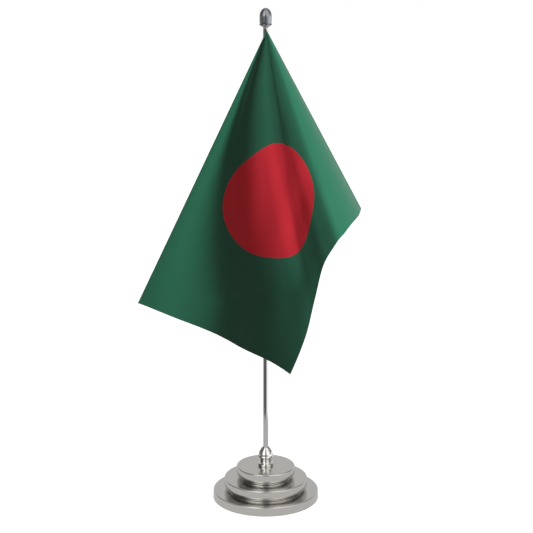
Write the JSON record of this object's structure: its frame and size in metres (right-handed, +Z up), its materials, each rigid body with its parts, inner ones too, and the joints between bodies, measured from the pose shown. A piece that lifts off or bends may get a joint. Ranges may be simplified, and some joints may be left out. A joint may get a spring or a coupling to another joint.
{
  "type": "desk flag stand",
  "caption": "Stepped round metal base with a slim pole in a turned socket, a bullet finial, and a small flag hung by one corner from a thread loop.",
  "frame": {"origin": "centre of the underside, on the surface that the stand rests on", "axes": "+Z up along the pole, the flag's face towards -Y, +X to the right of a viewer who faces the flag"},
  "size_m": [0.1648, 0.0949, 0.3755],
  "materials": {
    "foam_pad": "matt closed-cell foam",
    "satin_nickel": "lathe-brushed satin nickel",
    "zinc_steel": "bright zinc-plated steel",
    "polished_chrome": "polished",
    "pole_chrome": "polished",
    "finial_chrome": "polished, slightly smoky",
    "white_thread": "twisted polyester thread",
    "flag_green": "satin polyester",
    "flag_red": "satin polyester"
  },
  "bodies": {
    "stand": {"base_pad": "foam_pad", "bottom_tier": "satin_nickel", "middle_tier": "satin_nickel", "top_tier": "satin_nickel", "plain_washer": "zinc_steel", "lock_washer": "zinc_steel", "tie_bolt": "zinc_steel", "pole_socket": "polished_chrome"},
    "pole": {"pole": "pole_chrome", "finial_stud": "zinc_steel"},
    "finial_ring": {"finial_ring": "finial_chrome"},
    "finial_cap": {"finial_cap": "finial_chrome"},
    "loop": {"hanging_loop": "white_thread"},
    "eye": {"corner_eye": "white_thread"},
    "flag": {"flag_field": "flag_green", "flag_disc": "flag_red"}
  },
  "joints": [
    {"name": "pole_lift", "type": "slide", "parent": "stand", "child": "pole", "axis": [0, 0, 1], "range_m": [0, 0.012]},
    {"name": "finial_lift", "type": "slide", "parent": "pole", "child": "finial_ring", "axis": [0, 0, 1], "range_m": [0, 0.004]},
    {"name": "finial_turn", "type": "hinge", "parent": "finial_ring", "child": "finial_cap", "pos_m": [0, 0, 0.3646], "axis": [0, 0, 1], "range_deg": [0, 2880]},
    {"name": "flag_swivel", "type": "hinge", "parent": "pole", "child": "loop", "pos_m": [0, 0, 0.36145], "axis": [0, 0, 1], "continuous": true},
    {"name": "flag_tilt", "type": "hinge", "parent": "loop", "child": "eye", "pos_m": [0.0007, -0.0043, 0.3612], "axis": [-0.987, -0.1607, 0], "range_deg": [0, 25]},
    {"name": "flag_swing", "type": "hinge", "parent": "eye", "child": "flag", "pos_m": [0.0007, -0.0043, 0.3612], "axis": [0, 1, 0], "range_deg": [-20, 20]}
  ],
  "couplings": [
    {"joint": "finial_turn", "follows": "finial_lift", "rad_per_m": 12566}
  ]
}
